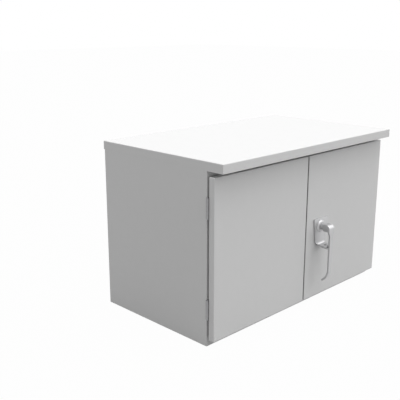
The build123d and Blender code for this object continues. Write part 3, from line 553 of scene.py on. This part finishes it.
def cut_across(piece, point, normal):
    """Cuts a loop of edges through the whole piece."""
    bpy.ops.object.mode_set(mode="EDIT")
    bpy.ops.mesh.select_all(action="SELECT")
    bpy.ops.mesh.bisect(plane_co=point, plane_no=normal)
    bpy.ops.object.mode_set(mode="OBJECT")


def push_out(offset):
    """Extrudes the picked faces by a vector."""
    bpy.ops.mesh.extrude_region_move(TRANSFORM_OT_translate={"value": offset})


# %% [markdown]
# Modifiers do what takes many picks by hand: joining two solids, cutting one with another, and
# rounding all hard edges at once. Each is applied, so the mesh is final. The last helper shades a
# piece, gives it its material, fixes it to the body it moves with and hides the part it replaces.

# %% Modifiers and finishing
sharp_edge_angle = 35.0


def apply_modifier(piece, kind, **settings):
    """Adds a modifier, sets it and applies it."""
    deselect_all()
    piece.select_set(True)
    bpy.context.view_layer.objects.active = piece
    modifier = piece.modifiers.new(kind.lower(), kind)
    for name, value in settings.items():
        setattr(modifier, name, value)
    bpy.ops.object.modifier_apply(modifier=modifier.name)


def combine(piece, tool, operation):
    """Joins a second solid to the piece, or cuts it away, and removes the tool."""
    apply_modifier(piece, "BOOLEAN", object=tool, operation=operation, solver="EXACT")
    bpy.data.objects.remove(tool)


def soften(piece, width, segments=3, angle=sharp_edge_angle):
    """Rounds the edges that turn by more than the angle, as a casting or a press leaves them."""
    apply_modifier(
        piece,
        "BEVEL",
        width=width,
        segments=segments,
        limit_method="ANGLE",
        angle_limit=radians(angle),
    )


def finish_piece(piece, material, body, replaced):
    """Shades a piece, gives it its material, and fixes it to its body in the frame."""
    deselect_all()
    piece.select_set(True)
    bpy.context.view_layer.objects.active = piece
    bpy.ops.object.shade_smooth_by_angle(angle=radians(sharp_edge_angle))
    piece.data.materials.clear()
    piece.data.materials.append(material)
    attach(piece, body)
    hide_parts(replaced)
    print(piece.name, "faces:", len(piece.data.polygons))


# %% [markdown]
# The drop lever is one casting: a square head, a flat shank that hangs from it, and a curl at the
# end that keeps a hand off the door. In the picture its bends catch the brightest light on the
# cabinet's front, so its edges need real roundings. It starts as the head's block. The upper bend
# is a bevel ten segments deep, the shank is extruded down in steps that narrow it, and the curl is
# a spin. The lever's corners, its pivot and the door's face come from the frame.

# %% Lever: places from the frame
hub = Vector(next(joint["pos_m"] for joint in frame["joints"] if joint["name"] == "handle_turn"))
door_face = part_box("right_door_pan")[0].y
lever_low, lever_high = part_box("handle_lever")
plate_low, plate_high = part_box("handle_backplate")
print("lever stands out in mm:", round((door_face - lever_low.y) / MM, 1))

# %% Lever: head and upper bend
head_standoff = 24 * MM
head_height = 25 * MM
head_bottom = lever_high.z - head_height
upper_bend = 15 * MM
lever_thickness = 7 * MM
shank_inner_face = lever_low.y + lever_thickness

lever = start_cube(
    "drop_lever",
    (lever_low.x, lever_low.y, head_bottom),
    (lever_high.x, door_face - head_standoff, lever_high.z),
)
pick(
    lever,
    "EDGE",
    lambda a, b: min(a.z, b.z) > lever_high.z - tiny and max(a.y, b.y) < lever_low.y + tiny,
)
bpy.ops.mesh.bevel(offset=upper_bend, segments=10, affect="EDGES", clamp_overlap=False)
cut_across(lever, (0, shank_inner_face, 0), (0, 1, 0))
print("head and bend faces:", len(lever.data.polygons))

# %% Lever: shank
# Each step of the narrowing is how far the shank drops and how wide it is there, in millimetres.
shank_narrowing = [(3.5, 28.5), (3.5, 25.0), (3.5, 20.5), (3.5, 17.2), (4.0, 16.0)]
shank_width = shank_narrowing[-1][1] * MM
shelf_thickness = 4 * MM
shelf_bottom = plate_low.z
shelf_top = shelf_bottom + shelf_thickness
tab_gap = 3 * MM
tab_thickness = 4.5 * MM
tab_top = shelf_bottom - tab_gap
tab_bottom = tab_top - tab_thickness
curl_start = 130 * MM

pick(
    lever,
    "FACE",
    lambda centre, normal: normal.z < -facing
    and centre.y < shank_inner_face
    and centre.z < head_bottom + tiny,
)
width = lever_high.x - lever_low.x
shank_end = head_bottom
for drop, next_width in shank_narrowing:
    push_out((0, 0, -drop * MM))
    shank_end -= drop * MM
    bpy.ops.transform.resize(
        value=(next_width * MM / width, 1, 1), center_override=(hub.x, 0, shank_end)
    )
    width = next_width * MM
for level in (tab_top, tab_bottom, curl_start):
    push_out((0, 0, level - shank_end))
    shank_end = level

# %% Lever: curl
curl_outer_radius = 53.5 * MM
curl_angle = 60.0

bpy.ops.mesh.spin(
    steps=14,
    angle=radians(curl_angle),
    center=(hub.x, lever_low.y + curl_outer_radius, curl_start),
    axis=(-1, 0, 0),
)
bpy.ops.object.mode_set(mode="OBJECT")
print("lever's lowest point in mm:", round(min(v.co.z for v in lever.data.vertices) / MM, 1))

# %% [markdown]
# A tab stands out from the shank towards the door, just under the plate's shelf. A padlock goes down
# through both. The tab is extruded from the shank's back, widened a little, and rounded at its end.

# %% Lever: padlock tab
tab_standoff = 14 * MM
tab_end = door_face - tab_standoff
tab_root = 2 * MM
tab_width = 20 * MM
tab_corner = 8 * MM
lever_edge = 0.8 * MM

pick(
    lever,
    "FACE",
    lambda centre, normal: normal.y > facing
    and tab_bottom < centre.z < tab_top
    and abs(centre.y - shank_inner_face) < tiny,
)
push_out((0, tab_root, 0))
bpy.ops.transform.resize(value=(tab_width / shank_width, 1, 1), center_override=(hub.x, 0, 0))
push_out((0, tab_end - shank_inner_face - tab_root, 0))
pick(
    lever,
    "EDGE",
    lambda a, b: min(a.y, b.y) > tab_end - tiny
    and abs(a.x - b.x) < tiny
    and abs(a.z - b.z) > tiny,
)
bpy.ops.mesh.bevel(offset=tab_corner, segments=8, affect="EDGES")
bpy.ops.object.mode_set(mode="OBJECT")
soften(lever, lever_edge)
print("lever faces after rounding:", len(lever.data.polygons))

# %% [markdown]
# Behind the head a round neck goes through the backplate to the spindle. It is a second solid that
# is joined to the lever, and the padlock's hole is a third that is cut away. Each reaches a little
# past the face where it ends, because two solids that only touch don't join or cut cleanly.

# %% Lever: neck and hole
past = 2 * MM
neck_radius = 12 * MM
neck_gap = 0.5 * MM
padlock_radius = 5.5 * MM
padlock_standoff = 27 * MM
padlock_y = door_face - padlock_standoff
padlock_pin_reach = 5 * MM
padlock_pin_sides = 32

neck = start_cylinder(
    "neck",
    neck_radius,
    (hub.x, door_face - neck_gap, hub.z),
    (hub.x, door_face - head_standoff - past, hub.z),
)
combine(lever, neck, "UNION")
padlock_pin = start_cylinder(
    "padlock_pin",
    padlock_radius,
    (hub.x, padlock_y, tab_bottom - padlock_pin_reach),
    (hub.x, padlock_y, tab_top + past),
    padlock_pin_sides,
)
combine(lever, padlock_pin, "DIFFERENCE")
finish_piece(lever, plated_zinc, "handle", "handle_lever")

# %% [markdown]
# Behind the lever sits its backplate, shaped like a shield: wide at the top, narrowing to the width
# of the shelf that is bent out at its foot. It starts as a block. Two cuts across it give loops
# whose corners move in to the narrower widths, and its upper corners are rounded by a bevel.

# %% Backplate: outline
plate_thickness = 5 * MM
plate_front = door_face - plate_thickness
waist = hub.z - 55 * MM
waist_half_width = 29 * MM
shelf_half_width = 20 * MM
plate_corner = 6 * MM

plate = start_cube(
    "handle_plate",
    (plate_low.x, plate_front, shelf_bottom),
    (plate_high.x, door_face, plate_high.z),
)
cut_across(plate, (0, 0, waist), (0, 0, 1))
cut_across(plate, (0, 0, shelf_top), (0, 0, 1))
for corner in plate.data.vertices:
    side = 1 if corner.co.x > hub.x else -1
    if abs(corner.co.z - waist) < tiny:
        corner.co.x = hub.x + side * waist_half_width
    elif corner.co.z < waist - tiny:
        corner.co.x = hub.x + side * shelf_half_width
pick(
    plate,
    "EDGE",
    lambda a, b: min(a.z, b.z) > plate_high.z - tiny and abs(a.x - b.x) < tiny,
)
bpy.ops.mesh.bevel(offset=plate_corner, segments=6, affect="EDGES")

# %% [markdown]
# The shelf is extruded from the plate's front face. On the real casting it runs into the plate in a
# hollow curve, which is one bevel on the edge between them, and its front corners are round, so that
# nothing sharp meets the hand.

# %% Backplate: shelf
shelf_bend = 8.5 * MM
shelf_corner = 9 * MM
plate_edge = 0.9 * MM

pick(plate, "FACE", lambda centre, normal: normal.y < -facing and centre.z < shelf_top)
push_out((0, plate_low.y - plate_front, 0))
pick(
    plate,
    "EDGE",
    lambda a, b: max(abs(a.z - shelf_top), abs(b.z - shelf_top)) < tiny
    and max(abs(a.y - plate_front), abs(b.y - plate_front)) < tiny,
)
bpy.ops.mesh.bevel(offset=shelf_bend, segments=8, affect="EDGES")
pick(
    plate,
    "EDGE",
    lambda a, b: max(a.y, b.y) < plate_low.y + tiny and abs(a.z - b.z) > shelf_thickness / 2,
)
bpy.ops.mesh.bevel(offset=shelf_corner, segments=8, affect="EDGES")
bpy.ops.object.mode_set(mode="OBJECT")
soften(plate, plate_edge, angle=50.0)
print("plate and shelf faces:", len(plate.data.polygons))

# %% [markdown]
# A domed boss on the plate holds the lever's neck. It is a short cone with a wide bevel at its rim,
# joined to the plate. The neck's hole then goes through both, with a radius a tenth of a millimetre
# larger than the neck's, so that the lever can turn.

# %% Backplate: boss and holes
boss_radius = 24 * MM
boss_top_radius = 18.5 * MM
boss_root = 2 * MM
boss_height = 10 * MM
boss_rounding = 2.5 * MM
neck_clearance = 0.1 * MM

boss = start_cylinder(
    "boss",
    boss_radius,
    (hub.x, door_face - boss_root, hub.z),
    (hub.x, door_face - boss_height, hub.z),
    sides=64,
    end_radius=boss_top_radius,
)
soften(boss, boss_rounding, segments=5)
combine(plate, boss, "UNION")
neck_hole = start_cylinder(
    "neck_hole",
    neck_radius + neck_clearance,
    (hub.x, door_face + past, hub.z),
    (hub.x, door_face - boss_height - past, hub.z),
)
combine(plate, neck_hole, "DIFFERENCE")
padlock_pin = start_cylinder(
    "padlock_pin",
    padlock_radius,
    (hub.x, padlock_y, shelf_bottom - past),
    (hub.x, padlock_y, shelf_top + past),
    padlock_pin_sides,
)
combine(plate, padlock_pin, "DIFFERENCE")
finish_piece(plate, plated_zinc, "right_door", "handle_backplate")

# %% [markdown]
# A door seal is a strip of rubber with a D-shaped section, bent round the door's inner flange. The
# block is opened to a ring by insetting its two large faces and bridging them, and the D comes from
# a bevel on the side that meets the frame. The far side keeps its square edge, where the strip is
# glued down.

# %% Door seals
seal_width = 14 * MM
seal_rounding = 6 * MM


def door_seal(name, body, node):
    """A ring of D-section rubber on one door."""
    low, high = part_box(node)
    seal = start_cube(name, low, high)
    pick(seal, "FACE", lambda centre, normal: abs(normal.y) > facing)
    bpy.ops.mesh.inset(thickness=seal_width, depth=0.0, use_individual=True)
    bpy.ops.mesh.bridge_edge_loops()
    pick(seal, "EDGE", lambda a, b: min(a.y, b.y) > high.y - tiny)
    bpy.ops.mesh.bevel(offset=seal_rounding, segments=5, affect="EDGES")
    bpy.ops.object.mode_set(mode="OBJECT")
    finish_piece(seal, black_epdm_rubber, body, node)


for side in ("left", "right"):
    door_seal(f"{side}_door_seal_strip", f"{side}_door", f"{side}_door_seal")

# %% [markdown]
# The studio's white is only for rays that look at it: those from the camera, off gloss and through
# glass. The floor and the world both need that test, so one function builds it for either. The
# Light Path node gives 1 for a ray of each kind, and the largest of the three is the answer.


# %% Rays that see the studio
def sees_studio(owner):
    """An output that is 1 for camera, glossy and transmission rays, and 0 for all others."""
    rays = add_node(owner, "ShaderNodeLightPath")
    seen = rays.outputs["Is Camera Ray"]
    for kind in ("Is Glossy Ray", "Is Transmission Ray"):
        either = add_node(
            owner, "ShaderNodeMath", {"operation": "MAXIMUM"}, _0=seen, _1=rays.outputs[kind]
        )
        seen = either.outputs[0]
    return seen


# %% [markdown]
# The floor is a wide sheet that is not part of the object. To the rays above it glows plain white,
# as the picture's ground does, with a trace of diffuse light left in it so that the cabinet keeps a
# faint shadow. To every other ray it is a mid-grey matt surface, which sends some soft light back up
# at the doors. It lies half a millimetre low, so that it never shares a plane with the cabinet.

# %% Floor
floor_size = 40.0
floor_drop = 0.5 * MM
ground_white_share = 0.98

deselect_all()
bpy.ops.mesh.primitive_plane_add(size=floor_size, location=(0.0, 0.0, -floor_drop))
floor = bpy.context.object
floor.name = "studio_floor"
floor_material = bpy.data.materials.new("studio_white")
floor_material.use_nodes = True
floor_material.node_tree.nodes.clear()
floor_paint = add_node(
    floor_material,
    "ShaderNodeBsdfPrincipled",
    Base_Color=linear("#8f8f8f"),
    Roughness=0.9,
    Specular_IOR_Level=0.0,
)
white = add_node(floor_material, "ShaderNodeEmission", Strength=1.0)
white_share = add_node(
    floor_material,
    "ShaderNodeMath",
    {"operation": "MULTIPLY"},
    _0=sees_studio(floor_material),
    _1=ground_white_share,
)
floor_mix = add_node(
    floor_material,
    "ShaderNodeMixShader",
    _0=white_share.outputs[0],
    _1=floor_paint.outputs[0],
    _2=white.outputs[0],
)
add_node(floor_material, "ShaderNodeOutputMaterial", Surface=floor_mix.outputs[0])
floor.data.materials.append(floor_material)
print("floor laid")

# %% [markdown]
# The light is that of a bright, soft studio. The world glows evenly from all round, dimly as light
# and plain white as what the camera sees.

# %% Glow
glow_strength = 0.64

world = bpy.data.worlds.new("studio")
bpy.context.scene.world = world
world.use_nodes = True
world.node_tree.nodes.clear()
glow = add_node(world, "ShaderNodeBackground", Color=(1, 1, 1, 1), Strength=glow_strength)
backdrop = add_node(world, "ShaderNodeBackground", Color=(1, 1, 1, 1), Strength=1.0)
world_mix = add_node(
    world,
    "ShaderNodeMixShader",
    _0=sees_studio(world),
    _1=glow.outputs[0],
    _2=backdrop.outputs[0],
)
add_node(world, "ShaderNodeOutputWorld", Surface=world_mix.outputs[0])
print("world glow:", glow_strength)

# %% [markdown]
# One wide lamp stands almost overhead, and a weaker one in front, to the right. The lid gets the
# full overhead lamp, the doors a glancing share of it and a slanting share of the front lamp, and
# the left side little more than the glow, which gives the picture's three greys. Because the lamps
# are wide, the lid's shadow fades down the doors instead of ending in a line.


# %% Lamps
def wide_lamp(name, energy, width, towards):
    """A lamp far away in the direction given, as wide in the sky as this angle in degrees."""
    lamp_data = bpy.data.lights.new(name, "SUN")
    lamp_data.energy = energy
    lamp_data.angle = radians(width)
    lamp = bpy.data.objects.new(name, lamp_data)
    lamp.rotation_euler = Vector(towards).to_track_quat("Z", "Y").to_euler()
    bpy.context.scene.collection.objects.link(lamp)


wide_lamp("overhead_lamp", energy=2.65, width=50.0, towards=(0.1, -0.1, 1.0))
wide_lamp("front_lamp", energy=0.9, width=40.0, towards=(0.65, -0.6, 0.45))
print("two lamps set")
